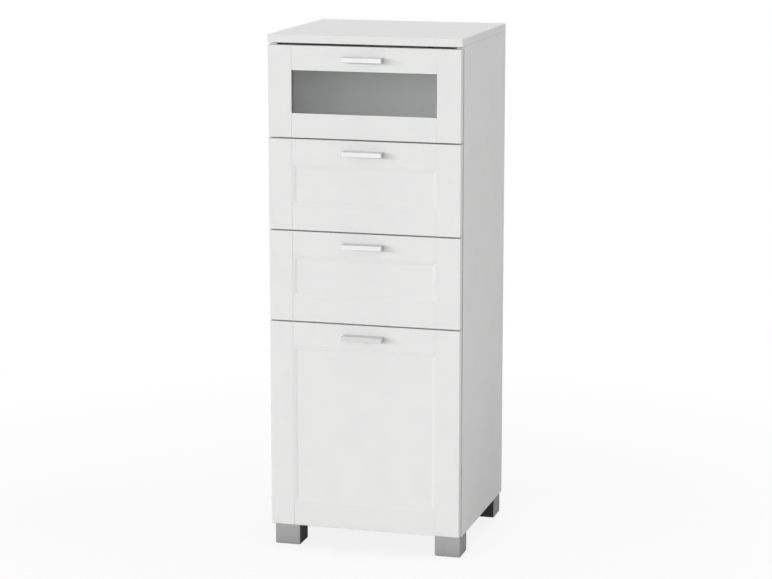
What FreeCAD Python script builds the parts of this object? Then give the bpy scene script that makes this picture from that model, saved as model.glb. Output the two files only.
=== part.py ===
import FreeCAD, Part
import math
import os

# A tall bathroom cabinet: three drawers above a tilt-out laundry flap, on four feet.
# Millimetres. The floor is z = 0, the fronts face -Y and x = 0 is the middle.

# Carcass boards
cabinet_width = 400.0
side_depth = 355.0
board_thickness = 16.0
board_round = 1.0
back_thickness = 3.0
back_recess = 8.0
back_groove = 6.0
groove_fit = 0.2
groove_end_gap = 0.5
shelf_overlap = 9.5

# Feet
foot_height = 45.0
foot_size = 54.0
foot_side_inset = 3.0
foot_rear_inset = 2.0
foot_corner = 3.2
foot_sole_round = 3.0
foot_wall = 3.0
foot_floor = 4.0
foot_boss = 16.0
foot_rib = 2.5
foot_screw = 5.0
foot_screw_grip = 24.0
foot_screw_head = 10.0
foot_screw_head_height = 3.0

# Framed fronts
front_thickness = 16.0
drawer_front_height = 184.0
flap_front_height = 426.0
front_gap = 2.5
top_gap = 4.5
buffer_gap = 3.0
front_reveal = 1.5
flap_rise = 3.0
member_width = 49.0
front_round = 1.5
stile_round = 0.2
joint_round = 0.8
rail_step = 0.3
frame_groove = 4.0
frame_groove_depth = 8.0
frame_groove_setback = 5.0
rim_fit = 0.1
rim_land = 0.4
rim_width = 8.0
rim_start_angle = 5.0
rim_end_angle = 30.0

# Cast handles
handle_length = 84.0
handle_height = 10.0
handle_reach = 22.0
handle_lip = 4.0
handle_top = 3.0
handle_leg = 8.0
handle_corner = 1.5
handle_inner_corner = 1.0
handle_round = 0.8
handle_screw = 4.0
handle_screw_grip = 10.0
handle_screw_head = 8.0
handle_screw_head_height = 2.6

# Drawer boxes
box_thickness = 12.0
box_height = 120.0
box_rear_gap = 47.0
box_rise = 15.0
box_bottom = 3.0
box_bottom_rise = 8.0
box_groove = 6.0

# Roller runners
runner_space = 12.5
runner_setback = 3.0
runner_rear_gap = 41.0
runner_sheet = 1.2
channel_flange_gap = 1.0
channel_lip = 6.0
channel_lip_start = 20.0
slide_setback = 2.0
slide_foot = 10.0
track_inset = 3.0
lip_gap = 0.8
roller_diameter = 14.0
roller_round = 0.8
roller_clearance = 1.6
roller_end = 12.0
roller_lift = 1.0
roller_pin = 4.0
roller_pin_end = 0.5
roller_shoulder = 7.0
roller_side_play = 0.3
roll_gap = 0.3

# Flap hinges
pivot_setback = 3.5
swing_gap = 0.3
hinge_inset = 74.0
hinge_width = 48.0
hinge_pin = 3.0
knuckle = 6.0
knuckle_gap = 0.3
hinge_leaf = 2.0
leaf_bite = 0.5
base_leaf_reach = 30.0
flap_leaf_height = 20.0

# Laundry hamper on the flap
open_angle = 30.0
wing_thickness = 12.0
wing_gap = 4.0
wing_headroom = 23.0
hamper_rear_gap = 44.0
hamper_rise = 2.5
hamper_floor = 8.0
hamper_back_drop = 15.0
nose_height = 16.0
nose_width = 16.0
nose_round = 4.0
peg_diameter = 8.0
peg_seat = 10.0
peg_clearance = 8.0
stop_gap = 0.3

# Cam fittings of the carcass
cam_diameter = 15.0
cam_depth = 12.5
cam_reach = 24.0
cam_place = 75.0
cam_bolt = 6.0
cam_bolt_neck = 4.5
cam_bolt_hole = 7.0
cam_thread_depth = 11.0

# Clearances and modelling values
pin_gap = 0.05
hole_gap = 0.25
cut_overrun = 2.0
touch = 0.01

# Places that follow from the sizes
half_width = cabinet_width / 2
inner_half = half_width - board_thickness
front_half = half_width - front_reveal
rail_half = front_half - member_width
handle_stand = handle_reach - rail_step
overall_depth = side_depth + buffer_gap + front_thickness + handle_stand
back_y = overall_depth / 2
carcass_y = back_y - side_depth
front_back_y = carcass_y - buffer_gap
face_y = front_back_y - front_thickness
rail_face_y = face_y + rail_step
groove_y = face_y + frame_groove_setback
pane_y = groove_y + groove_fit
pane_back_y = groove_y + frame_groove - groove_fit
rim_start = math.radians(rim_start_angle)
rim_end = math.radians(rim_end_angle)
rim_radius = rim_width / (math.sin(rim_end) - math.sin(rim_start))
top_front_y = carcass_y - front_thickness
back_panel_y = back_y - back_recess - back_thickness
carcass_z = foot_height
floor_top_z = carcass_z + board_thickness
flap_z = carcass_z + flap_rise
flap_top_z = flap_z + flap_front_height
drawer_pitch = drawer_front_height + front_gap
drawer_names = ("lower_drawer", "middle_drawer", "top_drawer")
drawer_zs = [flap_top_z + front_gap + drawer_pitch * place for place in range(len(drawer_names))]
top_z = drawer_zs[-1] + drawer_front_height + top_gap
shelf_z = flap_top_z - shelf_overlap

box_half = inner_half - runner_space
box_inner_half = box_half - box_thickness
box_back_y = back_panel_y - box_rear_gap
channel_y = carcass_y + runner_setback
channel_back_y = back_panel_y - runner_rear_gap
front_roller_y = channel_y + roller_end
rear_roller_y = box_back_y - roller_end
roller_outer_x = inner_half - runner_sheet - roller_clearance
roller_inner_x = box_half + runner_sheet + roller_clearance
roller_width = roller_outer_x - roller_inner_x

pivot_y = front_back_y + pivot_setback
swing = math.radians(open_angle)
pivot_rise = (buffer_gap - swing_gap - pivot_setback * (1 - math.cos(swing))) / math.sin(swing)
pivot_z = flap_z + pivot_rise
hinge_place = inner_half - hinge_inset
base_leaf_y = pivot_y + knuckle / 2 - leaf_bite
bottom_front_y = base_leaf_y + hinge_leaf
hamper_z = pivot_z + flap_leaf_height + hamper_rise
hamper_back_y = back_panel_y - hamper_rear_gap
hamper_depth = hamper_back_y - pivot_y
wing_outer_x = inner_half - wing_gap
wing_inner_x = wing_outer_x - wing_thickness
wing_radius = shelf_z - pivot_z - wing_headroom
nose_radius = wing_radius + nose_height
nose_start_angle = math.acos(hamper_depth / nose_radius)
nose_angle = nose_start_angle + nose_width / nose_radius
peg_radius = wing_radius + peg_clearance + peg_diameter / 2
peg_angle = nose_angle + swing + (peg_diameter / 2 + stop_gap) / peg_radius

foot_x = half_width - foot_side_inset - foot_size / 2
foot_front_y = carcass_y + foot_size / 2
foot_rear_y = back_y - foot_rear_inset - foot_size / 2

V = FreeCAD.Vector
right = V(1, 0, 0)
left = V(-1, 0, 0)
front = V(0, -1, 0)
rear = V(0, 1, 0)
up = V(0, 0, 1)
down = V(0, 0, -1)


def slab(x, y, z):
    """A box from its (low, high) places along the three axes."""
    return Part.makeBox(x[1] - x[0], y[1] - y[0], z[1] - z[0], V(x[0], y[0], z[0]))


def rod(start, axis, length, diameter):
    """A round bar from a start point along an axis."""
    return Part.makeCylinder(diameter / 2, length, start, axis)


def at(edge, axis, place):
    """True where a whole edge lies at one place along an axis."""
    box = edge.BoundBox
    ends = (getattr(box, axis + "Min"), getattr(box, axis + "Max"))
    return all(abs(end - place) < touch for end in ends)


def round_edges(shape, radius, pick):
    """Fillet the edges that pick accepts."""
    return shape.makeFillet(radius, [edge for edge in shape.Edges if pick(edge)])


def mirrored(shape):
    """The left-hand twin of a right-hand piece."""
    return shape.mirror(V(0, 0, 0), right)


def pair(shape):
    """A right-hand piece with its left-hand twin."""
    return Part.makeCompound([shape, mirrored(shape)])


def around_pivot(x, radius, angle):
    """A point at a radius and angle round the flap's pivot; the angle rises from the rear upwards."""
    return V(x, pivot_y + radius * math.cos(angle), pivot_z + radius * math.sin(angle))


def cam_joint(joint, into, opens):
    """One cam fitting: its disc and bolt, and the bores that both boards need for it.

    The bolt is screwed in behind the joint and reaches into the other board, whose cam is set in
    from the face that opens points to.
    """
    centre = joint + into * cam_reach
    face = centre + opens * (board_thickness / 2)
    thread_start = joint - into * cam_thread_depth
    slot_start = centre - into * cam_diameter
    disc = rod(face, opens * -1, cam_depth, cam_diameter)
    disc = disc.cut(rod(slot_start, into, cam_diameter + cam_bolt_neck, cam_bolt_hole))
    thread = rod(thread_start, into, cam_thread_depth, cam_bolt)
    neck = rod(thread_start, into, cam_thread_depth + cam_reach, cam_bolt_neck)
    seat = rod(face, opens * -1, cam_depth + groove_fit, cam_diameter + 2 * groove_fit)
    passage = rod(joint, into, cam_reach, cam_bolt_hole)
    socket = rod(thread_start - into * groove_fit, into, cam_thread_depth + groove_fit,
                 cam_bolt + 2 * pin_gap)
    return {"metal": [disc, thread.fuse(neck).removeSplitter()], "cam_board": [seat, passage],
            "bolt_board": [socket]}


def right_hand_cams(z_joint):
    """The two cam fittings at one end of a board, on the right-hand side."""
    places = (carcass_y + cam_place, back_y - cam_place)
    if z_joint == top_z:
        return [cam_joint(V(half_width - board_thickness / 2, y, top_z), down, left) for y in places]
    return [cam_joint(V(inner_half, y, z_joint), left, down) for y in places]


def gather(cams, key):
    """All shapes of one kind from a list of cam fittings."""
    return [shape for cam in cams for shape in cam[key]]


top_cams = right_hand_cams(top_z)
shelf_cams = right_hand_cams(shelf_z + board_thickness / 2)
floor_cams = right_hand_cams(carcass_z + board_thickness / 2)


def both_sides(shapes):
    """Right-hand shapes followed by their left-hand twins."""
    return shapes + [mirrored(shape) for shape in shapes]


def stop_peg():
    """The right-hand peg that the hamper's nose meets when the flap is fully open."""
    start = around_pivot(wing_inner_x, peg_radius, peg_angle)
    return rod(start, right, inner_half + peg_seat - wing_inner_x, peg_diameter)


def peg_bore():
    """The bore in the side panel that holds the stop peg."""
    start = around_pivot(inner_half, peg_radius, peg_angle)
    return rod(start, right, peg_seat + groove_fit, peg_diameter + 2 * pin_gap)


def side_panel():
    """The right-hand side board, grooved for the back panel."""
    board = slab((inner_half, half_width), (carcass_y, back_y), (carcass_z, top_z))
    ends = (carcass_z, top_z)
    board = round_edges(board, board_round,
                        lambda edge: at(edge, "Y", carcass_y) and not any(at(edge, "Z", z) for z in ends))
    groove = slab((inner_half - cut_overrun, inner_half + back_groove),
                  (back_panel_y - groove_fit, back_panel_y + back_thickness + groove_fit),
                  (carcass_z - cut_overrun, top_z + cut_overrun))
    bores = gather(top_cams, "cam_board") + gather(shelf_cams + floor_cams, "bolt_board")
    return board.cut([groove, peg_bore()] + bores)


def top_panel():
    """The top board, which lies over the sides and reaches forward over the fronts."""
    board = slab((-half_width, half_width), (top_front_y, back_y), (top_z, top_z + board_thickness))
    board = round_edges(board, board_round, lambda edge: not at(edge, "Y", back_y))
    groove = slab((-inner_half - back_groove, inner_half + back_groove),
                  (back_panel_y - groove_fit, back_panel_y + back_thickness + groove_fit),
                  (top_z - cut_overrun, top_z + back_groove))
    return board.cut([groove] + both_sides(gather(top_cams, "bolt_board")))


def foot_screw_places():
    """The middle of each foot, front pair first."""
    return [(side * foot_x, y) for y in (foot_front_y, foot_rear_y) for side in (-1, 1)]


def bottom_panel():
    """The bottom board between the sides, with the holes for the foot screws."""
    board = slab((-inner_half, inner_half), (bottom_front_y, back_panel_y), (carcass_z, floor_top_z))
    holes = [rod(V(x, y, carcass_z - cut_overrun), up, board_thickness + 2 * cut_overrun,
                 foot_screw + 2 * hole_gap) for x, y in foot_screw_places()]
    return board.cut(holes + both_sides(gather(floor_cams, "cam_board")))


def fixed_shelf():
    """The fixed board between the drawers and the laundry space."""
    board = slab((-inner_half, inner_half), (carcass_y, back_panel_y), (shelf_z, shelf_z + board_thickness))
    return board.cut(both_sides(gather(shelf_cams, "cam_board")))


def back_panel():
    """The thin back, held in the grooves of the sides and the top."""
    edge = inner_half + back_groove - groove_end_gap
    return slab((-edge, edge), (back_panel_y, back_panel_y + back_thickness),
                (carcass_z, top_z + back_groove - groove_end_gap))


def foot(x, y):
    """A moulded foot, closed at the sole and open to the board above, with a ribbed screw boss."""
    half = foot_size / 2
    hollow_half = half - foot_wall
    rib_half = half - foot_wall / 2
    block = slab((x - half, x + half), (y - half, y + half), (0, foot_height))
    block = round_edges(block, foot_corner,
                        lambda edge: not at(edge, "Z", 0) and not at(edge, "Z", foot_height))
    block = round_edges(block, foot_sole_round, lambda edge: at(edge, "Z", 0))
    hollow = slab((x - hollow_half, x + hollow_half), (y - hollow_half, y + hollow_half),
                  (foot_floor, foot_height + cut_overrun))
    rib_z = (foot_floor / 2, foot_height)
    ribs = [slab((x - rib_half, x + rib_half), (y - foot_rib / 2, y + foot_rib / 2), rib_z),
            slab((x - foot_rib / 2, x + foot_rib / 2), (y - rib_half, y + rib_half), rib_z)]
    boss = rod(V(x, y, foot_floor / 2), up, foot_height - foot_floor / 2, foot_boss)
    bore = rod(V(x, y, foot_height + cut_overrun), down, foot_screw_grip + 2 * cut_overrun,
               foot_screw + 2 * pin_gap)
    shell = block.cut(hollow).fuse([boss] + ribs).removeSplitter()
    return shell.cut(bore)


def foot_screws():
    """One screw for each foot, with its head on the bottom board."""
    screws = []
    for x, y in foot_screw_places():
        head = rod(V(x, y, floor_top_z), up, foot_screw_head_height, foot_screw_head)
        shank = rod(V(x, y, floor_top_z), down, board_thickness + foot_screw_grip, foot_screw)
        screws.append(head.fuse(shank).removeSplitter())
    return Part.makeCompound(screws)


def front_stile(z, height):
    """The right-hand stile of a framed front: full height and grooved along its inner edge."""
    body = slab((rail_half, front_half), (face_y, front_back_y), (z, z + height))
    body = round_edges(body, front_round,
                       lambda edge: at(edge, "Y", face_y) and not at(edge, "X", rail_half))
    body = round_edges(body, stile_round,
                       lambda edge: at(edge, "Y", face_y) and at(edge, "X", rail_half))
    groove = slab((rail_half - cut_overrun, rail_half + frame_groove_depth),
                  (groove_y, groove_y + frame_groove), (z - cut_overrun, z + height + cut_overrun))
    return body.cut(groove)


def handle_screw_xs():
    """The handle's two screw places."""
    reach = handle_length / 2 - handle_leg / 2
    return (-reach, reach)


def front_rail(z, outer_z):
    """One rail between the stiles, tongued at both ends and grooved along its inner edge."""
    inner_z = 2 * z + member_width - outer_z
    inward = 1 if inner_z > outer_z else -1
    body = slab((-rail_half, rail_half), (rail_face_y, front_back_y), (z, z + member_width))
    body = round_edges(body, front_round,
                       lambda edge: at(edge, "Y", rail_face_y) and at(edge, "Z", outer_z))
    body = round_edges(body, joint_round, lambda edge: at(edge, "Y", rail_face_y)
                       and any(at(edge, "X", end) for end in (-rail_half, rail_half)))
    tongue_half = rail_half + frame_groove_depth - groove_end_gap
    tongue = slab((-tongue_half, tongue_half), (pane_y, pane_back_y), (z, z + member_width))
    groove_zs = sorted((inner_z - inward * frame_groove_depth, inner_z + inward * cut_overrun))
    groove = slab((-tongue_half - cut_overrun, tongue_half + cut_overrun),
                  (groove_y, groove_y + frame_groove), groove_zs)
    return body.fuse(tongue).removeSplitter().cut(groove)


def front_rails(z, height):
    """The lower and upper rail of a framed front; the upper one is drilled for the handle."""
    upper_z = z + height - member_width
    holes = [rod(V(x, front_back_y + cut_overrun, upper_z + member_width / 2), front,
                 front_thickness + 2 * cut_overrun, handle_screw + 2 * hole_gap) for x in handle_screw_xs()]
    return Part.makeCompound([front_rail(z, z), front_rail(upper_z, z + height).cut(holes)])


def front_pane(z, height):
    """A flat pane held in the frame's grooves."""
    grip = frame_groove_depth - groove_end_gap
    x = rail_half + grip
    return slab((-x, x), (pane_y, pane_back_y),
                (z + member_width - grip, z + height - member_width + grip))


def rim_place(half, slope):
    """The distance from a panel's middle, and the depth, at which its rounded rim has a slope."""
    run = rim_radius * (math.sin(slope) - math.sin(rim_start))
    sink = rim_radius * (math.cos(rim_start) - math.cos(slope))
    return half - rim_land - run, rail_face_y + sink


def panel_section(half, point):
    """A panel cut across: level with the rails at its edges, and rounded down to a flat field.

    point turns a distance from the middle and a depth into a place.
    """
    flank = [rim_place(half, slope) for slope in (rim_start, (rim_start + rim_end) / 2, rim_end)]
    falling = [point(-run, depth) for run, depth in flank]
    rising = [point(run, depth) for run, depth in reversed(flank)]
    edge = [point(half, rail_face_y), point(half, pane_y), point(-half, pane_y), point(-half, rail_face_y)]
    lines = [Part.Arc(*falling).toShape(), Part.makeLine(falling[-1], rising[0]), Part.Arc(*rising).toShape()]
    lines += Part.makePolygon([rising[-1]] + edge + [falling[0]]).Edges
    return Part.Face(Part.Wire(lines))


def front_panel(z, height):
    """A sunk panel: a pane whose raised body falls from a rounded rim to a flat field."""
    low = z + member_width + rim_fit
    high = z + height - member_width - rim_fit
    half = rail_half - rim_fit
    upright = panel_section(half, lambda run, depth: V(run, depth, low)).extrude(up * (high - low))
    level = panel_section((high - low) / 2, lambda run, depth: V(-half, depth, (low + high) / 2 + run))
    return front_pane(z, height).fuse([upright, level.extrude(right * 2 * half)]).removeSplitter()


def cast_handle(z):
    """A flat-faced handle on the upper rail at height z, closed above and open below for the fingers."""
    half = handle_length / 2
    tip_y = rail_face_y - handle_reach
    lip_y = tip_y + handle_lip
    z_span = (z - handle_height / 2, z + handle_height / 2)
    gap_span = (z_span[0] - cut_overrun, z_span[1] - handle_top)
    block = slab((-half, half), (tip_y, rail_face_y), z_span)
    block = round_edges(block, handle_corner, lambda edge: at(edge, "Y", tip_y)
                        and not any(at(edge, "Z", end) for end in z_span))
    gap_half = half - handle_leg
    gap = slab((-gap_half, gap_half), (lip_y, rail_face_y + cut_overrun), gap_span)
    gap = round_edges(gap, handle_inner_corner, lambda edge: at(edge, "Y", lip_y)
                      and not at(edge, "Z", gap_span[0]))
    body = block.cut(gap)
    body = round_edges(body, handle_round, lambda edge: not at(edge, "Y", rail_face_y)
                       and any(at(edge, "Z", end) for end in z_span))
    bores = [rod(V(x, rail_face_y + cut_overrun, z), front, handle_screw_grip + 2 * cut_overrun,
                 handle_screw + 2 * pin_gap) for x in handle_screw_xs()]
    return body.cut(bores)


def handle_screws(z):
    """The two screws that hold a handle from behind the rail."""
    screws = []
    for x in handle_screw_xs():
        start = V(x, front_back_y, z)
        length = front_back_y - rail_face_y + handle_screw_grip
        head = rod(start, rear, handle_screw_head_height, handle_screw_head)
        screws.append(head.fuse(rod(start, front, length, handle_screw)).removeSplitter())
    return Part.makeCompound(screws)


def front_nodes(name, z, height, glazed):
    """All pieces of one framed front."""
    handle_z = z + height - member_width / 2
    nodes = {name + "_stiles": pair(front_stile(z, height)), name + "_rails": front_rails(z, height)}
    if glazed:
        nodes[name + "_glass_pane"] = front_pane(z, height)
    else:
        nodes[name + "_panel"] = front_panel(z, height)
    nodes[name + "_handle"] = cast_handle(handle_z)
    nodes[name + "_handle_screws"] = handle_screws(handle_z)
    return nodes


def box_side(z):
    """The right-hand side of a drawer box, grooved for the bottom."""
    body = slab((box_inner_half, box_half), (front_back_y, box_back_y), (z, z + box_height))
    body = round_edges(body, board_round, lambda edge: at(edge, "Z", z + box_height)
                       and not at(edge, "Y", front_back_y))
    bottom_z = z + box_bottom_rise
    groove = slab((box_inner_half - cut_overrun, box_inner_half + box_groove),
                  (front_back_y - cut_overrun, box_back_y + cut_overrun),
                  (bottom_z - groove_fit, bottom_z + box_bottom + groove_fit))
    return body.cut(groove)


def drawer_box(name, z):
    """The sides, back and bottom of a drawer box whose lower edge is at z."""
    bottom_z = z + box_bottom_rise
    bottom_half = box_inner_half + box_groove - groove_end_gap
    back = slab((-box_inner_half, box_inner_half), (box_back_y - box_thickness, box_back_y),
                (bottom_z + box_bottom, z + box_height))
    bottom = slab((-bottom_half, bottom_half), (front_back_y, box_back_y), (bottom_z, bottom_z + box_bottom))
    return {name + "_box_sides": pair(box_side(z)), name + "_box_back": back, name + "_box_bottom": bottom}


def runner_heights(z):
    """The heights of a runner under a drawer box whose lower edge is at z."""
    heights = {"base": z - runner_sheet}
    heights["rear_roller"] = z + roll_gap + roller_diameter / 2
    heights["front_roller"] = heights["rear_roller"] + roller_lift
    heights["track"] = heights["front_roller"] + roller_diameter / 2 + roll_gap
    heights["lip"] = heights["track"] + runner_sheet + lip_gap
    return heights


def roller_pin_on(x, y, z, axis, shoulder_length, length):
    """A roller's pin, riveted to the sheet at x, with the shoulder that spaces the roller."""
    start = V(x, y, z)
    return rod(start, axis, shoulder_length, roller_shoulder).fuse(rod(start, axis, length, roller_pin))


def cabinet_runner(z):
    """The right-hand steel channel on the side panel, with its front roller's pin."""
    heights = runner_heights(z)
    span = (channel_y, channel_back_y)
    lip_span = (front_roller_y + channel_lip_start, span[1])
    web_x = inner_half - runner_sheet
    web = slab((web_x, inner_half), span, (heights["base"], heights["lip"] + runner_sheet))
    flange_x = box_half + runner_sheet + channel_flange_gap
    flange = slab((flange_x, inner_half), span, (heights["base"], z))
    lip = slab((inner_half - channel_lip, inner_half), lip_span,
               (heights["lip"], heights["lip"] + runner_sheet))
    pin = roller_pin_on(web_x, front_roller_y, heights["front_roller"], left,
                        roller_clearance - roller_side_play, web_x - roller_inner_x + roller_pin_end)
    return web.fuse([flange, lip, pin]).removeSplitter()


def slide_runner(z):
    """The right-hand steel angle under the drawer box, with its track and its rear roller's pin."""
    heights = runner_heights(z)
    span = (front_back_y + slide_setback, box_back_y)
    web_x = box_half + runner_sheet
    web = slab((box_half, web_x), span, (heights["base"], heights["track"] + runner_sheet))
    ledge = slab((box_half - slide_foot, web_x), span, (heights["base"], z))
    track = slab((box_half, inner_half - track_inset), span,
                 (heights["track"], heights["track"] + runner_sheet))
    pin = roller_pin_on(web_x, rear_roller_y, heights["rear_roller"], right,
                        roller_clearance - roller_side_play, roller_outer_x + roller_pin_end - web_x)
    return web.fuse([ledge, track, pin]).removeSplitter()


def roller(y, z):
    """A right-hand nylon roller on its pin."""
    wheel = rod(V(roller_inner_x, y, z), right, roller_width, roller_diameter)
    wheel = round_edges(wheel, roller_round,
                        lambda edge: at(edge, "X", roller_inner_x) or at(edge, "X", roller_outer_x))
    return wheel.cut(rod(V(roller_inner_x - cut_overrun, y, z), right, roller_width + 2 * cut_overrun,
                         roller_pin + 2 * pin_gap))


def runner_nodes(name, z):
    """The runners and rollers of a drawer box whose lower edge is at z."""
    heights = runner_heights(z)
    return {name + "_cabinet_runners": pair(cabinet_runner(z)),
            name + "_slide_runners": pair(slide_runner(z)),
            name + "_front_rollers": pair(roller(front_roller_y, heights["front_roller"])),
            name + "_rear_rollers": pair(roller(rear_roller_y, heights["rear_roller"]))}


def barrel(span, diameter):
    """A round bar on the flap's axis, over a span along x."""
    return rod(V(span[0], pivot_y, pivot_z), right, span[1] - span[0], diameter)


def hinge_nodes():
    """The leaves and pins of the flap's two butt hinges."""
    low = hinge_place - hinge_width / 2
    high = low + hinge_width
    joints = (low + hinge_width / 3, high - hinge_width / 3)
    gap = knuckle_gap / 2
    outer_spans = ((low, joints[0] - gap), (joints[1] + gap, high))
    middle_span = (joints[0] + gap, joints[1] - gap)
    swept = knuckle + 2 * knuckle_gap
    bore = barrel((low - cut_overrun, high + cut_overrun), hinge_pin + 2 * pin_gap)
    knuckle_z = pivot_z - knuckle / 2
    upright = slab((low, high), (base_leaf_y, bottom_front_y), (knuckle_z, floor_top_z + hinge_leaf))
    tread = slab((low, high), (base_leaf_y, bottom_front_y + base_leaf_reach),
                 (floor_top_z, floor_top_z + hinge_leaf))
    base = upright.fuse([tread] + [barrel(span, knuckle) for span in outer_spans]).removeSplitter()
    base = base.cut([barrel((joints[0] - gap, joints[1] + gap), swept), bore])
    plate = slab((low, high), (front_back_y, front_back_y + hinge_leaf),
                 (knuckle_z, pivot_z + flap_leaf_height))
    leaf = plate.fuse(barrel(middle_span, knuckle)).removeSplitter()
    leaf = leaf.cut([barrel((low - cut_overrun, joints[0] + gap), swept),
                     barrel((joints[1] - gap, high + cut_overrun), swept), bore])
    return {"flap_hinge_base_leaves": pair(base), "flap_hinge_leaves": pair(leaf),
            "flap_hinge_pins": pair(barrel((low, high), hinge_pin))}


def arc_round_pivot(radius, start, end):
    """An arc about the flap's axis, in the plane of the wing's inner face."""
    points = [around_pivot(wing_inner_x, radius, angle) for angle in (start, (start + end) / 2, end)]
    return Part.Arc(*points).toShape()


def hamper_wing():
    """The right-hand side of the hamper: round about the hinge, with a nose that meets the peg."""
    end_angle = math.acos((front_back_y - pivot_y) / wing_radius)
    corner_points = [around_pivot(wing_inner_x, wing_radius, end_angle),
                     V(wing_inner_x, front_back_y, hamper_z), V(wing_inner_x, hamper_back_y, hamper_z),
                     around_pivot(wing_inner_x, nose_radius, nose_start_angle)]
    step = Part.makeLine(around_pivot(wing_inner_x, nose_radius, nose_angle),
                         around_pivot(wing_inner_x, wing_radius, nose_angle))
    nose = arc_round_pivot(nose_radius, nose_start_angle, nose_angle)
    edges = [Part.makePolygon(corner_points), nose, step, arc_round_pivot(wing_radius, nose_angle, end_angle)]
    outline = Part.Wire(Part.__sortEdges__([edge for part in edges for edge in part.Edges]))
    wing = Part.Face(outline).extrude(right * wing_thickness)
    tips = [around_pivot(wing_inner_x, nose_radius, angle) for angle in (nose_start_angle, nose_angle)]
    return round_edges(wing, nose_round, lambda edge: any(at(edge, "Y", tip.y) and at(edge, "Z", tip.z)
                                                          for tip in tips))


def hamper_nodes():
    """The laundry bin that the flap carries."""
    back_top_z = pivot_z + math.sqrt(wing_radius ** 2 - hamper_depth ** 2) - hamper_back_drop
    across = (-wing_inner_x, wing_inner_x)
    back_front_y = hamper_back_y - wing_thickness
    return {"hamper_sides": pair(hamper_wing()),
            "hamper_back": slab(across, (back_front_y, hamper_back_y), (hamper_z, back_top_z)),
            "hamper_bottom": slab(across, (front_back_y, back_front_y), (hamper_z, hamper_z + hamper_floor))}


def carcass_nodes():
    """The boards, feet and fittings that stand still."""
    side = side_panel()
    metal = gather(top_cams + shelf_cams + floor_cams, "metal")
    nodes = {"side_panel_right": side, "side_panel_left": mirrored(side), "top_panel": top_panel(),
             "bottom_panel": bottom_panel(), "fixed_shelf": fixed_shelf(), "back_panel": back_panel(),
             "foot_screws": foot_screws(), "cam_fittings": Part.makeCompound(both_sides(metal)),
             "flap_stop_pegs": pair(stop_peg())}
    foot_names = ("foot_front_left", "foot_front_right", "foot_rear_left", "foot_rear_right")
    for foot_name, (x, y) in zip(foot_names, foot_screw_places()):
        nodes[foot_name] = foot(x, y)
    return nodes


def drawer_nodes(name, z):
    """One whole drawer whose front starts at height z."""
    nodes = front_nodes(name + "_front", z, drawer_front_height, name == drawer_names[-1])
    nodes.update(drawer_box(name, z + box_rise))
    nodes.update(runner_nodes(name, z + box_rise))
    return nodes


def flap_nodes():
    """The laundry flap with its hinges and hamper."""
    nodes = front_nodes("flap", flap_z, flap_front_height, False)
    nodes.update(hinge_nodes())
    nodes.update(hamper_nodes())
    return nodes


def main():
    """Build every piece and write one file for each."""
    nodes = carcass_nodes()
    for name, z in zip(drawer_names, drawer_zs):
        nodes.update(drawer_nodes(name, z))
    nodes.update(flap_nodes())
    os.makedirs("parts", exist_ok=True)
    for name, shape in nodes.items():
        shape.exportStep("parts/" + name + ".step")
        print(name, len(shape.Solids), round(shape.Volume), shape.isValid())


main()
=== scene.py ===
# %% [markdown]
# # A tall white bathroom cabinet
# The cabinet's boards, fittings and joints come from a CAD model that is already in place, in
# metres, with the floor at z = 0 and the fronts facing -Y. This lesson gives each piece its
# finish, adds the small fasteners that a drawing leaves out, and sets up a plain studio.

# %% Load the model and keep its box
import math

import bpy
import numpy as np
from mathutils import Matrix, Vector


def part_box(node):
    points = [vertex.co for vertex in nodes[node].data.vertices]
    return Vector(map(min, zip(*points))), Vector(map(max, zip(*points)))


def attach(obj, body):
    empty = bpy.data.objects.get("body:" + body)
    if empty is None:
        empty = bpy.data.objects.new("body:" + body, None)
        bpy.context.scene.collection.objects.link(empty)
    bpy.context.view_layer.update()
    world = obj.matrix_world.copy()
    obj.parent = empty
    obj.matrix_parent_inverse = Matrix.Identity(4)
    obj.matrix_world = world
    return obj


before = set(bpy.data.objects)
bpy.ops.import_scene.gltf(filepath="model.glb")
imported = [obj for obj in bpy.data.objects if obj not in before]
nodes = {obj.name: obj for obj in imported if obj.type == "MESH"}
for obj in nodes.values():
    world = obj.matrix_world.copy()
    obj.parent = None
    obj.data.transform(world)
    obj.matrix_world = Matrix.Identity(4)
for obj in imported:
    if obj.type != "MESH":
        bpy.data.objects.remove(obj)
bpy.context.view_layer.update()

# %% [markdown]
# ## Colours
# Paint charts and screens give colours as sRGB codes, but a shader works with linear light. The
# linear numbers could be typed in, but nobody sees a colour in them. So the codes stay, and one
# function turns them into linear values.

# %% A colour from its code
def linear(code):
    """Linear RGBA of an sRGB code: c / 12.92 up to 0.04045, and ((c + 0.055) / 1.055) ** 2.4 above."""
    srgb = np.array([int(code[i:i + 2], 16) for i in (0, 2, 4)]) / 255
    rgb = np.where(srgb <= 0.04045, srgb / 12.92, ((srgb + 0.055) / 1.055) ** 2.4)
    return (*rgb.tolist(), 1.0)


print("foil white as linear light:", np.round(linear("E7E7E6")[:3], 3).tolist())

# %% [markdown]
# ## Nodes
# A material is a small network of nodes. Adding, setting and linking each one in lines of its own
# would take pages. One function does all three, so each material below reads as a short list of
# what it is made of.

# %% Helpers for materials
def add_node(tree, kind, inputs=None, **settings):
    """Add a node. Settings are its own options; an input is a value, or another node's output to link."""
    node = tree.nodes.new("ShaderNode" + kind)
    for name, value in settings.items():
        setattr(node, name, value)
    for key, value in (inputs or {}).items():
        if isinstance(value, bpy.types.NodeSocket):
            tree.links.new(value, node.inputs[key])
        else:
            node.inputs[key].default_value = value
    return node


def new_tree(name):
    """A new material and its node tree, empty but for the output."""
    material = bpy.data.materials.new(name)
    material.use_nodes = True
    material.node_tree.nodes.clear()
    add_node(material.node_tree, "OutputMaterial")
    return material, material.node_tree


def show(tree, shader):
    """Link a shader node to the material's output."""
    output = next(node for node in tree.nodes if node.type == "OUTPUT_MATERIAL")
    tree.links.new(shader.outputs[0], output.inputs["Surface"])


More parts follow.
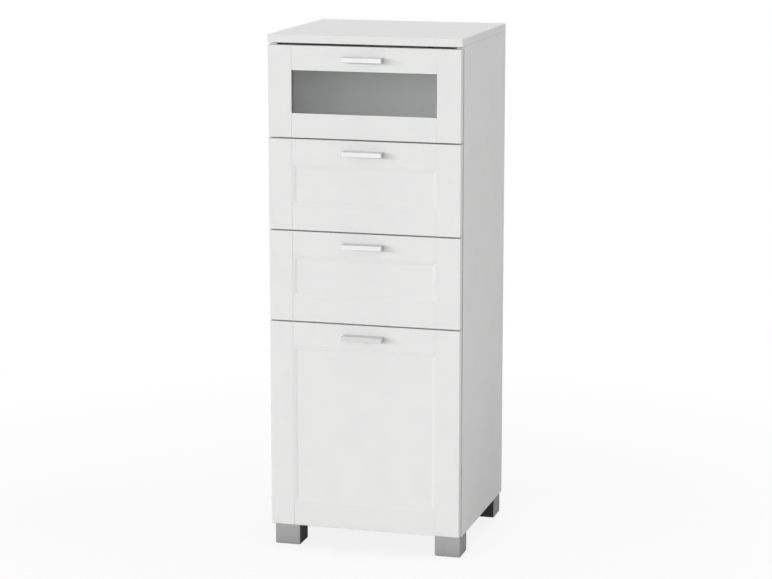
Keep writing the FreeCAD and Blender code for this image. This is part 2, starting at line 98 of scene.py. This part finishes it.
print("node helpers ready")

# %% [markdown]
# ## Chipboard
# Inside the boards is chipboard: wood flakes, one to three millimetres wide, pressed with glue. It
# shows only at the rear edges of the sides and the top, which stand at the wall and are left raw.
# Those edges could be strips of their own, but a real board is one piece. So a mask in its
# material finds them: faces that lie at the very rear and look back.

# %% Raw chipboard edges
MM = 0.001


def raw_edge(tree, place, edge_y, colour, roughness):
    """Blend flakes into a colour and a roughness, wherever y passes edge_y and the face looks back."""
    flake_size = 2.2 * MM
    fibre_size = 0.9 * MM
    rear_facing = 0.7
    flakes = add_node(tree, "TexVoronoi", {"Vector": place.outputs["Object"], "Scale": 1 / flake_size})
    fibres = add_node(tree, "TexNoise", {"Vector": place.outputs["Object"], "Scale": 1 / fibre_size,
                                         "Detail": 3.0})
    blend = add_node(tree, "MixRGB", {"Fac": fibres.outputs[0], "Color1": flakes.outputs["Color"],
                                      "Color2": fibres.outputs["Color"]})
    grey = add_node(tree, "RGBToBW", {"Color": blend.outputs[0]})
    wood = add_node(tree, "ValToRGB", {"Fac": grey.outputs[0]})
    for stop, position, code in zip(wood.color_ramp.elements, (0.25, 0.75), ("8E6A44", "D8BC90")):
        stop.position = position
        stop.color = linear(code)
    where = add_node(tree, "SeparateXYZ", {"Vector": place.outputs["Object"]})
    facing = add_node(tree, "SeparateXYZ", {"Vector": place.outputs["Normal"]})
    behind = add_node(tree, "Math", {0: where.outputs["Y"], 1: edge_y}, operation="GREATER_THAN")
    back = add_node(tree, "Math", {0: facing.outputs["Y"], 1: rear_facing}, operation="GREATER_THAN")
    mask = add_node(tree, "Math", {0: behind.outputs[0], 1: back.outputs[0]}, operation="MULTIPLY")
    mixed = add_node(tree, "MixRGB", {"Fac": mask.outputs[0], "Color1": colour,
                                      "Color2": wood.outputs[0]})
    matt = add_node(tree, "MapRange", {"Value": mask.outputs[0], "To Min": roughness, "To Max": 0.9})
    return mixed.outputs[0], matt.outputs[0]


rear_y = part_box("side_panel_left")[1].y
print("rear edges at y =", round(rear_y, 4))

# %% [markdown]
# ## White foil
# The boards are wrapped in a white decor foil. It is embossed with a very fine pearl and lies on a
# board that isn't perfectly flat, so the eye sees a satin white with soft, broad highlights. A
# picture of foil could be laid on each board, but noise in Object coordinates has its real size
# on all of them by itself. Fine noise bumps the surface for the pearl, and broad noise lets tone
# and gloss wander. The pearl is about half a millimetre in life. It is drawn at two, because half
# a millimetre is finer than a pixel.

# %% White foil material
def white_foil(name, raw_edge_y=None):
    """Satin white foil. Where raw_edge_y is given, faces that look back from there are raw chipboard."""
    pearl_size = 2 * MM
    pearl_depth = 0.02 * MM
    wave_size = 60 * MM
    material, tree = new_tree(name)
    place = add_node(tree, "TexCoord")
    pearl = add_node(tree, "TexNoise", {"Vector": place.outputs["Object"], "Scale": 1 / pearl_size,
                                        "Detail": 2.0})
    wave = add_node(tree, "TexNoise", {"Vector": place.outputs["Object"], "Scale": 1 / wave_size,
                                       "Detail": 1.0})
    tone = add_node(tree, "MixRGB", {"Fac": wave.outputs[0], "Color1": linear("E9E9E8"),
                                     "Color2": linear("E5E5E5")})
    gloss = add_node(tree, "MapRange", {"Value": wave.outputs[0], "To Min": 0.36, "To Max": 0.44})
    bump = add_node(tree, "Bump", {"Height": pearl.outputs[0], "Distance": pearl_depth, "Strength": 0.35})
    colour, roughness = tone.outputs[0], gloss.outputs[0]
    if raw_edge_y is not None:
        colour, roughness = raw_edge(tree, place, raw_edge_y, colour, roughness)
    shader = add_node(tree, "BsdfPrincipled", {"Base Color": colour, "Roughness": roughness, "IOR": 1.5,
                                               "Normal": bump.outputs[0]})
    show(tree, shader)
    return material


edge_depth = 0.5 * MM
foil = white_foil("white_decor_foil")
carcass_foil = white_foil("white_decor_foil_with_raw_rear_edge", rear_y - edge_depth)
print("made:", foil.name, "and", carcass_foil.name)

# %% [markdown]
# ## Hardboard
# The back of the cabinet and the drawer bottoms are 3 mm hardboard: pressed brown fibre with one
# white lacquered face. The two faces could have a material each, but a CAD piece is one mesh with
# one material. So the material takes the axis that the white face looks along, and reads it from
# the surface normal. The raw face has short fibres, a few millimetres long in life and drawn at
# seven, and darker clouds a hand wide where the pulp lay thicker in the press.

# %% Hardboard material
def hardboard(name, axis, white_side):
    """Brown pressed fibre, white where the normal's part along an axis has the sign of white_side."""
    fibre_size = 7 * MM
    fibre_stretch = (1.0, 0.6, 2.2)
    fibre_depth = 0.1 * MM
    cloud_size = 80 * MM
    white_facing = 0.5
    material, tree = new_tree(name)
    place = add_node(tree, "TexCoord")
    along = add_node(tree, "Mapping", {"Vector": place.outputs["Object"], "Scale": fibre_stretch})
    fibre = add_node(tree, "TexNoise", {"Vector": along.outputs[0], "Scale": 1 / fibre_size,
                                        "Detail": 4.0, "Roughness": 0.6})
    cloud = add_node(tree, "TexNoise", {"Vector": place.outputs["Object"], "Scale": 1 / cloud_size,
                                        "Detail": 3.0})
    brown = add_node(tree, "ValToRGB", {"Fac": fibre.outputs[0]})
    for stop, position, code in zip(brown.color_ramp.elements, (0.3, 0.72), ("6B4A2E", "A67C52")):
        stop.position = position
        stop.color = linear(code)
    shade = add_node(tree, "MapRange", {"Value": cloud.outputs[0], "From Min": 0.3, "From Max": 0.7,
                                        "To Min": 0.86, "To Max": 1.16})
    toned = add_node(tree, "MixRGB", {"Fac": 1.0, "Color1": brown.outputs[0], "Color2": shade.outputs[0]},
                     blend_type="MULTIPLY")
    facing = add_node(tree, "SeparateXYZ", {"Vector": place.outputs["Normal"]})
    signed = add_node(tree, "Math", {0: facing.outputs[axis], 1: white_side}, operation="MULTIPLY")
    white = add_node(tree, "Math", {0: signed.outputs[0], 1: white_facing}, operation="GREATER_THAN")
    colour = add_node(tree, "MixRGB", {"Fac": white.outputs[0], "Color1": toned.outputs[0],
                                       "Color2": linear("E4E4E2")})
    gloss = add_node(tree, "MapRange", {"Value": white.outputs[0], "To Min": 0.75, "To Max": 0.42})
    bump = add_node(tree, "Bump", {"Height": fibre.outputs[0], "Distance": fibre_depth, "Strength": 0.4})
    shader = add_node(tree, "BsdfPrincipled", {"Base Color": colour.outputs[0],
                                               "Roughness": gloss.outputs[0], "IOR": 1.5,
                                               "Normal": bump.outputs[0]})
    show(tree, shader)
    return material


back_board = hardboard("hardboard_white_to_the_front", "Y", -1.0)
drawer_board = hardboard("hardboard_white_on_top", "Z", 1.0)
print("made:", back_board.name, "and", drawer_board.name)

# %% [markdown]
# ## Satin glass
# The window of the top drawer is float glass etched on one side. Etching scatters the light that
# passes, so the drawer behind shows only as a soft grey. A plain grey paint would look alike from
# the front, but flat from the side and with the drawer open. A rough transmission does what
# etching does, and a little plain scatter is left in for the etched skin. Its frost is far finer
# than a pixel, so it is drawn at a millimetre and a half. Shade is painted into its grey: the grey
# darkens to the left and under the upper rail.

# %% Satin glass material
def satin_glass():
    """Etched glass: rough transmission, a grey tint with painted shade to the left and top, and frost."""
    frost_size = 1.5 * MM
    frost_depth = 0.02 * MM
    window_half = 150 * MM
    middle_stop = 0.45
    pane_grip = 7.5 * MM
    painted_shade_height = 42 * MM
    window_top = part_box("top_drawer_front_glass_pane")[1].z - pane_grip
    material, tree = new_tree("satin_etched_glass")
    place = add_node(tree, "TexCoord")
    frost = add_node(tree, "TexNoise", {"Vector": place.outputs["Object"], "Scale": 1 / frost_size,
                                        "Detail": 3.0})
    haze = add_node(tree, "MapRange", {"Value": frost.outputs[0], "To Min": 0.32, "To Max": 0.42})
    bump = add_node(tree, "Bump", {"Height": frost.outputs[0], "Distance": frost_depth, "Strength": 0.3})
    where = add_node(tree, "SeparateXYZ", {"Vector": place.outputs["Object"]})
    along = add_node(tree, "MapRange", {"Value": where.outputs["X"], "From Min": -window_half,
                                        "From Max": window_half})
    # Painted shade: the grey darkens from right to left across the window.
    tint_with_painted_shade = add_node(tree, "ValToRGB", {"Fac": along.outputs[0]})
    for stop, code in zip(tint_with_painted_shade.color_ramp.elements, ("B2B3B3", "E6E7E7")):
        stop.color = linear(code)
    tint_with_painted_shade.color_ramp.elements.new(middle_stop).color = linear("DADBDB")
    # Painted shade: the grey darkens under the upper rail.
    shade = add_node(tree, "MapRange", {"Value": where.outputs["Z"], "To Min": 1.01, "To Max": 0.84,
                                        "From Min": window_top - painted_shade_height, "From Max": window_top})
    grey = add_node(tree, "MixRGB", {"Fac": 1.0, "Color1": tint_with_painted_shade.outputs[0], "Color2": shade.outputs[0]},
                    blend_type="MULTIPLY")
    shader = add_node(tree, "BsdfPrincipled", {"Base Color": grey.outputs[0],
                                               "Roughness": haze.outputs[0], "IOR": 1.5,
                                               "Transmission Weight": 0.8, "Normal": bump.outputs[0]})
    show(tree, shader)
    return material


glass = satin_glass()
print("made:", glass.name)

# %% [markdown]
# ## Metals
# The handles are zinc castings with bright chrome plate: a mirror that is only broken by faint
# polishing lines, a tenth of a millimetre apart in life and drawn at 0.8 mm so that they show.
# Screws, cams and hinges have a thin zinc plate, greyer and more matt, with a cloudy spangle. Two
# materials could be drawn from scratch, but both are plated metals whose gloss wanders, so one
# function makes them and the roughness tells them apart. Seen at a flat angle they mirror less
# than an ideal metal, which darkens the tops of the handles a little.

# %% Chrome and zinc materials
def plated_metal(name, code, rough_low, rough_high, grain):
    """A plated metal whose roughness wanders between two values over a grain of that many metres."""
    line_stretch = (0.15, 1.0, 1.0)
    line_depth = 0.01 * MM
    material, tree = new_tree(name)
    place = add_node(tree, "TexCoord")
    lines = add_node(tree, "Mapping", {"Vector": place.outputs["Object"], "Scale": line_stretch})
    cloud = add_node(tree, "TexNoise", {"Vector": lines.outputs[0], "Scale": 1 / grain, "Detail": 3.0})
    gloss = add_node(tree, "MapRange", {"Value": cloud.outputs[0], "To Min": rough_low,
                                        "To Max": rough_high})
    bump = add_node(tree, "Bump", {"Height": cloud.outputs[0], "Distance": line_depth, "Strength": 0.15})
    shader = add_node(tree, "BsdfPrincipled", {"Base Color": linear(code), "Metallic": 1.0,
                                               "Specular Tint": linear("F2F2F2"),
                                               "Roughness": gloss.outputs[0], "Normal": bump.outputs[0]})
    show(tree, shader)
    return material


chrome = plated_metal("bright_chrome_plate", "D9D9DA", rough_low=0.08, rough_high=0.14, grain=0.8 * MM)
zinc = plated_metal("bright_zinc_plate", "C6C8CC", rough_low=0.28, rough_high=0.42, grain=2.5 * MM)
print("made:", chrome.name, "and", zinc.name)

# %% [markdown]
# ## Silver lacquer
# The feet are moulded plastic. The faces that show from outside are sprayed with silver lacquer,
# aluminium flakes in a matt binder, so finely speckled. Those that look under the cabinet are
# dark grey. Each foot could be cut into two meshes, but one material can tell the faces apart: the
# origin is under the middle of the cabinet, so an inner face has its normal against its own place.

# %% Silver lacquer material
def silver_lacquer():
    """Silver lacquer on plastic: fine flakes, 0.3 mm in life and drawn at 1.2 mm, vary tone and gloss.

    A face is dark grey where place . normal < 0, which means that it looks to the middle of the cabinet.
    A limit a little under 0 keeps the soles out of it.
    """
    flake_size = 1.2 * MM
    ripple_size = 4 * MM
    ripple_depth = 0.03 * MM
    looks_under_limit = -0.02
    material, tree = new_tree("silver_lacquered_plastic")
    place = add_node(tree, "TexCoord")
    flake = add_node(tree, "TexVoronoi", {"Vector": place.outputs["Object"], "Scale": 1 / flake_size})
    grey = add_node(tree, "RGBToBW", {"Color": flake.outputs["Color"]})
    silver = add_node(tree, "MixRGB", {"Fac": grey.outputs[0], "Color1": linear("ACACAC"),
                                       "Color2": linear("B8B8B8")})
    outward = add_node(tree, "VectorMath", {0: place.outputs["Object"], 1: place.outputs["Normal"]},
                       operation="DOT_PRODUCT")
    # Faces that look under the cabinet are dark grey.
    looks_under = add_node(tree, "Math", {0: outward.outputs["Value"], 1: looks_under_limit}, operation="LESS_THAN")
    tone = add_node(tree, "MixRGB", {"Fac": looks_under.outputs[0], "Color1": silver.outputs[0],
                                     "Color2": linear("686868")})
    gloss = add_node(tree, "MapRange", {"Value": grey.outputs[0], "To Min": 0.6, "To Max": 0.72})
    ripple = add_node(tree, "TexNoise", {"Vector": place.outputs["Object"], "Scale": 1 / ripple_size,
                                         "Detail": 1.0})
    bump = add_node(tree, "Bump", {"Height": ripple.outputs[0], "Distance": ripple_depth, "Strength": 0.4})
    shader = add_node(tree, "BsdfPrincipled", {"Base Color": tone.outputs[0],
                                               "Roughness": gloss.outputs[0], "IOR": 1.5,
                                               "Specular IOR Level": 0.05, "Normal": bump.outputs[0]})
    show(tree, shader)
    return material


lacquer = silver_lacquer()
print("made:", lacquer.name)

# %% [markdown]
# ## Powder coat, nylon and rubber
# The runners are steel with a white powder coat, which flows into a slight orange peel. The
# rollers are natural nylon, milky and waxy, and small buffers are of milky rubber. All have a
# rippled skin. The ripple could be modelled, but it is only hundredths of a millimetre deep, so
# one noise drives the bump, the tone and the gloss. Some light goes under the skin of the plastics.

# %% Powder coat, nylon and rubber materials
def rippled_skin(name, low_code, high_code, roughness, grain, depth, glow):
    """A coat or plastic with a rippled skin of a grain and depth in metres, and a glow from under it."""
    glow_depth = 2 * MM
    gloss_range = 0.06
    material, tree = new_tree(name)
    place = add_node(tree, "TexCoord")
    peel = add_node(tree, "TexNoise", {"Vector": place.outputs["Object"], "Scale": 1 / grain,
                                       "Detail": 1.0})
    tone = add_node(tree, "MixRGB", {"Fac": peel.outputs[0], "Color1": linear(low_code),
                                     "Color2": linear(high_code)})
    gloss = add_node(tree, "MapRange", {"Value": peel.outputs[0], "To Min": roughness - gloss_range,
                                        "To Max": roughness + gloss_range})
    bump = add_node(tree, "Bump", {"Height": peel.outputs[0], "Distance": depth, "Strength": 0.5})
    shader = add_node(tree, "BsdfPrincipled", {"Base Color": tone.outputs[0],
                                               "Roughness": gloss.outputs[0], "IOR": 1.5,
                                               "Subsurface Weight": glow, "Subsurface Scale": glow_depth,
                                               "Normal": bump.outputs[0]})
    show(tree, shader)
    return material


powder_coat = rippled_skin("white_powder_coat", "E2E2E0", "EAEAE8", roughness=0.33, grain=3 * MM,
                           depth=0.03 * MM, glow=0.0)
nylon = rippled_skin("natural_nylon", "DAD8CE", "E4E2D8", roughness=0.45, grain=2 * MM,
                     depth=0.02 * MM, glow=0.3)
buffer_rubber = rippled_skin("milky_buffer_rubber", "DCDCD8", "E6E6E2", roughness=0.3, grain=2 * MM,
                             depth=0.01 * MM, glow=0.2)
print("made:", powder_coat.name, nylon.name, "and", buffer_rubber.name)

# %% [markdown]
# ## Finishes on the CAD pieces
# Each CAD piece keeps its mesh and only gets a material. A list of all the names would do, but the
# names say what the pieces are, so a short list of endings is enough to choose. Everything that
# isn't listed is foil.

# %% Dress the CAD pieces
finish_by_ending = [
    ("glass_pane", glass), ("handle", chrome), ("screws", zinc), ("cam_fittings", zinc),
    ("leaves", zinc), ("pins", zinc), ("pegs", zinc), ("runners", powder_coat), ("rollers", nylon),
    ("back_panel", back_board), ("box_bottom", drawer_board), ("side_panel_left", carcass_foil),
    ("side_panel_right", carcass_foil), ("top_panel", carcass_foil)]


def finish_for(name):
    """The material of a CAD piece: feet by the start of their name, the rest by its ending."""
    if name.startswith("foot_") and not name.endswith("screws"):
        return lacquer
    return next((material for ending, material in finish_by_ending if name.endswith(ending)), foil)


for name, piece in nodes.items():
    piece.data.materials.clear()
    piece.data.materials.append(finish_for(name))
print("dressed:", len(nodes))

# %% [markdown]
# ## Screw heads
# Runners and hinges are held by screws with low round heads and a cross recess. A cylinder with a
# cross cut out of it would do, but such a cut leaves a tangle of thin faces. A head is a height
# over a round seat, so a polar grid fits it: rings by sides, whose height is a low crown less the
# recess.

# %% The surface of a round head
SIDES = 32
RINGS = 12


def cross_recess(x, y):
    """1 inside a cross of two bars, 0 outside, with soft walls: the larger of bar(x, y) and bar(y, x)."""
    arm_share = 0.55
    half_width_share = 0.11
    soft_share = half_width_share * 0.35

    def bar(along, across):
        side = np.clip((half_width_share - np.abs(across)) / soft_share + 0.5, 0, 1)
        end = np.clip((arm_share - np.abs(along)) / soft_share + 0.5, 0, 1)
        return side * end
    return np.maximum(bar(x, y), bar(y, x))


def head_grid(crown, recess):
    """x, y and height of a head of radius 1, as rings by sides, from the seat's edge to the middle.

    Height = crown * (1 - r ** 6) ** 0.5 - recess * cross(x, y), and the first ring dips under the seat.
    """
    dip_share = 0.1
    middle_share = 0.004
    radius = np.concatenate([[1.0], np.sqrt(np.linspace(1.0, middle_share, RINGS))])[:, None]
    angle = np.arange(SIDES) * 2 * np.pi / SIDES
    x, y = radius * np.cos(angle), radius * np.sin(angle)
    height = crown * np.sqrt(1 - radius ** 6) - recess * cross_recess(x, y)
    height[0] = -dip_share * crown
    return x, y, height


print("points in a head:", head_grid(1.0, 0.0)[2].size)

# %% [markdown]
# ## Many heads in one piece
# Screws that sit in a row are alike, so a row is one piece. Each head could be an object of its
# own, but that makes dozens of objects to keep track of. Adding the places to the grid as one
# array gives all their points at once.

# %% Rows of heads
def head_faces(count):
    """Quads between neighbouring rings, and for each head a face at its middle and one under its seat."""
    ring, step = np.meshgrid(np.arange(RINGS), np.arange(SIDES), indexing="ij")
    after = (step + 1) % SIDES
    quads = np.stack([ring * SIDES + step, ring * SIDES + after, (ring + 1) * SIDES + after,
                      (ring + 1) * SIDES + step], axis=-1).reshape(-1, 4)
    starts = np.arange(count)[:, None] * (RINGS + 1) * SIDES
    around = np.arange(SIDES)[None]
    faces = (quads[None] + starts[:, None]).reshape(-1, 4).tolist()
    faces += (around + starts + RINGS * SIDES).tolist()
    faces += (around[:, ::-1] + starts).tolist()
    return faces


def round_heads(name, body, material, slot, places, axes, radius, crown, recess):
    """Round heads at places, as one piece that rides on a body.

    Point = place + height * outward + radius * (x * side + y * up), where axes are those three.
    """
    outward, side, up = (np.array(axis, float) for axis in axes)
    x, y, height = (part[..., None] for part in head_grid(crown, recess))
    shape = height * outward + radius * (x * side + y * up)
    points = (np.array(places, float)[:, None, None, :] + shape[None]).reshape(-1, 3)
    faces = head_faces(len(places))
    mesh = bpy.data.meshes.new(name)
    mesh.from_pydata(points.tolist(), [], faces)
    mesh.polygons.foreach_set("use_smooth", np.ones(len(faces), bool))
    mesh.materials.append(material)
    piece = bpy.data.objects.new(name, mesh)
    bpy.context.scene.collection.objects.link(piece)
    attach(piece, body)
    print(name, "heads:", len(places))


print("faces in a head:", len(head_faces(1)))

# %% [markdown]
# ## Runner screws
# A channel is screwed to the side panel through its web, and a drawer's angle to the box from
# below. The places could be typed in, but they follow the runners: three along each, between a
# margin at both ends. The heads are nearly flush, because the rollers pass close by.

# %% Make the runner screws
RIGHT, LEFT = (1, 0, 0), (-1, 0, 0)
FRONT, REAR = (0, -1, 0), (0, 1, 0)
UP, DOWN = (0, 0, 1), (0, 0, -1)
drawers = ("lower_drawer", "middle_drawer", "top_drawer")
screws_in_row = 3
screw_radius = 3.5 * MM
flush_head = {"radius": screw_radius, "crown": 0.3 * MM, "recess": 0.25 * MM}
runner_sheet = 1.2 * MM
web_rise = 9 * MM
channel_margins = (45 * MM, 25 * MM)
angle_margin = 40 * MM
angle_inset = 5 * MM

for drawer in drawers:
    low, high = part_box(drawer + "_cabinet_runners")
    web_x, web_z = high.x - runner_sheet, low.z + web_rise
    ys = np.linspace(low.y + channel_margins[0], high.y - channel_margins[1], screws_in_row)
    for side, axes, word in ((1, (LEFT, FRONT, UP), "right"), (-1, (RIGHT, REAR, UP), "left")):
        places = [(side * web_x, y, web_z) for y in ys]
        round_heads(f"{drawer}_channel_screws_{word}", "carcass", zinc, "zinc_steel", places, axes,
                    **flush_head)
    low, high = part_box(drawer + "_slide_runners")
    angle_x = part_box(drawer + "_box_sides")[1].x - angle_inset
    ys = np.linspace(low.y + angle_margin, high.y - angle_margin, screws_in_row)
    places = [(side * angle_x, y, low.z) for side in (-1, 1) for y in ys]
    round_heads(f"{drawer}_angle_screws", drawer, zinc, "zinc_steel", places, (DOWN, RIGHT, FRONT),
                **flush_head)

# %% [markdown]
# ## Hinge screws
# Each hinge leaf has a pair of screws: down into the bottom board, and forward into the flap. They
# are the same heads with a higher crown, because nothing passes over them, and they take their
# places from the leaves.

# %% Make the hinge screws
leaf_half = 24 * MM
leaf_sheet = 2 * MM
screw_step = 14 * MM
rear_margin = 12 * MM
top_margin = 5 * MM

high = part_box("flap_hinge_base_leaves")[1]
leaf_xs = [side * (high.x - leaf_half + step) for side in (-1, 1) for step in (-screw_step, screw_step)]
places = [(x, high.y - rear_margin, high.z) for x in leaf_xs]
round_heads("flap_hinge_floor_screws", "carcass", zinc, "zinc_steel", places, (UP, RIGHT, REAR),
            radius=screw_radius, crown=0.6 * MM, recess=0.5 * MM)
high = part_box("flap_hinge_leaves")[1]
leaf_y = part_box("flap_stiles")[1].y + leaf_sheet
places = [(x, leaf_y, high.z - top_margin) for x in leaf_xs]
round_heads("flap_hinge_front_screws", "flap", zinc, "zinc_steel", places, (REAR, LEFT, UP),
            radius=screw_radius, crown=0.4 * MM, recess=0.3 * MM)

# %% [markdown]
# ## Buffers
# Small soft domes behind the corners of each front take the knock when it closes. A flap turns
# about its lower edge, so it only needs them at its upper corners. Half a sphere would do, but the
# round head with a higher crown and no recess is there already, and flatter on top, as a moulded
# buffer is.

# %% Make the buffers
dome = {"radius": 4 * MM, "crown": 2.5 * MM, "recess": 0.0}
corner_margin = 12 * MM
edge_inset = 9.5 * MM

for front, body in [(drawer + "_front", drawer) for drawer in drawers] + [("flap", "flap")]:
    low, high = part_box(front + "_stiles")
    upper_z, lower_z = high.z - corner_margin, low.z + corner_margin
    heights = (upper_z,) if body == "flap" else (lower_z, upper_z)
    places = [(side * (high.x - edge_inset), high.y, z) for side in (-1, 1) for z in heights]
    round_heads(front + "_buffers", body, buffer_rubber, "nylon", places, (REAR, LEFT, UP), **dome)

# %% [markdown]
# ## Paper for the floor
# A product picture has a white sweep under and behind the object. More light would make it white,
# but would wash out the cabinet too. So the paper emits most of the white that the camera, mirrors
# and glass see: all of it far out, and a little less close by, where the cabinet's soft shadow
# stays. What it throws back up is another matter: white paper in front keeps the fronts even down
# to their lower edge, and grey paper everywhere else keeps it dim under the cabinet. The fibres of
# paper are too fine to show, so its grain is drawn at eight millimetres.

# %% Floor material
def seen_directly(tree, ray):
    """1 for rays from the camera, from a mirror or through glass, and 0 for all other light."""
    camera_ray, mirror_ray, glass_ray = (ray.outputs[f"Is {kind} Ray"]
                                         for kind in ("Camera", "Glossy", "Transmission"))
    either = add_node(tree, "Math", {0: camera_ray, 1: mirror_ray}, operation="MAXIMUM")
    return add_node(tree, "Math", {0: either.outputs[0], 1: glass_ray}, operation="MAXIMUM")


def floor_material():
    """Paper that the camera sees as white, tinted by shadows. Light comes back from it mostly ahead."""
    paper_grain = 8 * MM
    grey_until_y, white_from_y = -0.17, -0.21
    near_radius, far_radius = 0.4, 1.8
    near_share, far_share = 0.85, 1.0
    material, tree = new_tree("white_paper_sweep")
    place = add_node(tree, "TexCoord")
    ray = add_node(tree, "LightPath")
    grain = add_node(tree, "TexNoise", {"Vector": place.outputs["Object"], "Scale": 1 / paper_grain,
                                        "Detail": 2.0})
    white = add_node(tree, "MixRGB", {"Fac": grain.outputs[0], "Color1": linear("F8F8F8"),
                                      "Color2": linear("FBFBFB")})
    where = add_node(tree, "SeparateXYZ", {"Vector": place.outputs["Object"]})
    ahead = add_node(tree, "MapRange", {"Value": where.outputs["Y"], "From Min": grey_until_y,
                                        "From Max": white_from_y})
    given = add_node(tree, "MixRGB", {"Fac": ahead.outputs[0], "Color1": linear("707070"),
                                      "Color2": linear("F0F0F0")})
    tone = add_node(tree, "MixRGB", {"Fac": ray.outputs["Is Camera Ray"], "Color1": given.outputs[0],
                                     "Color2": white.outputs[0]})
    paper = add_node(tree, "BsdfDiffuse", {"Color": tone.outputs[0]})
    glow = add_node(tree, "Emission", {"Strength": 1.0})
    way = add_node(tree, "VectorMath", {0: place.outputs["Object"]}, operation="LENGTH")
    share = add_node(tree, "MapRange", {"Value": way.outputs["Value"], "From Min": near_radius,
                                        "From Max": far_radius, "To Min": near_share,
                                        "To Max": far_share}, interpolation_type="SMOOTHSTEP")
    seen = seen_directly(tree, ray)
    amount = add_node(tree, "Math", {0: seen.outputs[0], 1: share.outputs[0]}, operation="MULTIPLY")
    mixed = add_node(tree, "MixShader", {0: amount.outputs[0], 1: paper.outputs[0], 2: glow.outputs[0]})
    show(tree, mixed)
    return material


paper = floor_material()
print("made:", paper.name)

# %% [markdown]
# ## Floor
# A studio sweep curves up behind the object to hide the horizon. Here the far floor and the world
# are the same white, so one large plane has no horizon to hide.

# %% Make the floor
def stage_plane(name, corners, material):
    """One four-cornered face that belongs to the studio and not to the cabinet."""
    mesh = bpy.data.meshes.new(name)
    mesh.from_pydata(corners, [], [(0, 1, 2, 3)])
    mesh.materials.append(material)
    plane = bpy.data.objects.new(name, mesh)
    bpy.context.scene.collection.objects.link(plane)
    return plane


floor_reach = 40.0
signs = ((-1, -1), (1, -1), (1, 1), (-1, 1))
floor = stage_plane("floor", [(x * floor_reach, y * floor_reach, 0.0) for x, y in signs], paper)
print("floor reaches", floor_reach, "m each way")

# %% [markdown]
# ## World
# The world is the white studio around the cabinet. As plain white it would light every side alike
# and leave no shade, so it gives off only a third of its light. The camera, and reflections in
# glass and chrome, still see it as plain white.

# %% Make the world
fill_level = 0.33
world = bpy.data.worlds.new("white_studio")
bpy.context.scene.world = world
world.use_nodes = True
tree = world.node_tree
tree.nodes.clear()
seen = seen_directly(tree, add_node(tree, "LightPath"))
strength = add_node(tree, "MapRange", {"Value": seen.outputs[0], "To Min": fill_level, "To Max": 1.0})
sky = add_node(tree, "Background", {"Color": (1.0, 1.0, 1.0, 1.0), "Strength": strength.outputs[0]})
add_node(tree, "OutputWorld", {"Surface": sky.outputs[0]})
print("world gives", fill_level, "of white")

# %% [markdown]
# ## Lamps
# A long strip light stands in front on the left. Area lamps close by would light the top of such a
# tall cabinet more than its foot, so it is seven narrow lamps in a row, endlessly far off, which
# light the whole height evenly. They give the fronts their white and throw short soft shadows to
# the right, and they are low, so that each handle hides most of its own shadow. Three weaker lamps
# light the right side, the top and the back. No lamp shows in reflections.

# %% Make the lamps
def far_lamp(name, azimuth, elevation, width, level):
    """A soft lamp far away, with its angles in degrees, from the front and above the floor.

    Energy = pi * level, so that a lamp of level 1 shows white paper that faces it as white.
    """
    lamp = bpy.data.lights.new(name, "SUN")
    lamp.angle = math.radians(width)
    lamp.energy = math.pi * level
    holder = bpy.data.objects.new(name, lamp)
    holder.rotation_euler = (math.radians(90 - elevation), 0.0, math.radians(azimuth))
    holder.visible_glossy = False
    bpy.context.scene.collection.objects.link(holder)


strip_azimuths = range(-60, 1, 10)
for number, azimuth in enumerate(strip_azimuths):
    far_lamp(f"strip_lamp_{number}", azimuth, elevation=9, width=6, level=0.082)
far_lamp("right_lamp", azimuth=95, elevation=25, width=40, level=0.21)
far_lamp("top_lamp", azimuth=0, elevation=85, width=40, level=0.16)
far_lamp("rear_lamp", azimuth=180, elevation=40, width=60, level=0.15)
print("lamps in the strip:", len(strip_azimuths))

# %% [markdown]
# ## Reflector
# Chrome looks like whatever stands around it. In a studio a white card, low in front and turned
# to the cabinet, brightens the faces of the handles, while their tops and ends mirror the white
# fronts more dimly. A brighter lamp would do the same and light everything else too, so this is a
# card that only reflections see.

# %% Make the reflector card
def lit_card():
    """A glow that wanders a little over the card."""
    fade_size = 400 * MM
    material, tree = new_tree("lit_white_card")
    place = add_node(tree, "TexCoord")
    fade = add_node(tree, "TexNoise", {"Vector": place.outputs["Object"], "Scale": 1 / fade_size,
                                       "Detail": 0.0})
    level = add_node(tree, "MapRange", {"Value": fade.outputs[0], "To Min": 1.2, "To Max": 1.4})
    show(tree, add_node(tree, "Emission", {"Strength": level.outputs[0]}))
    return material


card_middle = np.array([-0.81, -2.98])
card_direction = np.array([0.96, -0.28])
card_half_width = 0.6
card_heights = (0.02, 0.95)
ends = [card_middle + side * card_half_width * card_direction for side in (-1, 1)]
card_corners = [(*end, card_heights[0]) for end in ends] + [(*end, card_heights[1]) for end in ends[::-1]]
card = stage_plane("reflector_card", card_corners, lit_card())
card.visible_camera = card.visible_diffuse = card.visible_transmission = card.visible_shadow = False
print("card is", 2 * card_half_width, "m wide")

# %% [markdown]
# ## Camera
# The photograph was taken from about 16 degrees to the right with a long lens, a little above the
# cabinet. Such a view could be set by eye. Here a camera of 772 by 579 pixels was fitted to the
# measured corners of the boards, which gave its focal length, place and turn.

# %% Make the camera
image_width = 772
focal_pixels = 2469.93
camera_place = (1.35276, -4.83368, 1.50083)
camera_pitch = 0.19384
camera_turn = 0.27354

camera_data = bpy.data.cameras.new("camera")
camera_data.sensor_width = 36.0
camera_data.lens = focal_pixels / image_width * camera_data.sensor_width
camera = bpy.data.objects.new("camera", camera_data)
bpy.context.scene.collection.objects.link(camera)
camera.location = camera_place
camera.rotation_euler = (math.pi / 2 - camera_pitch, 0.0, camera_turn)
bpy.context.scene.camera = camera
bpy.context.scene.view_settings.view_transform = "Standard"
print("lens:", round(camera_data.lens, 1), "mm")
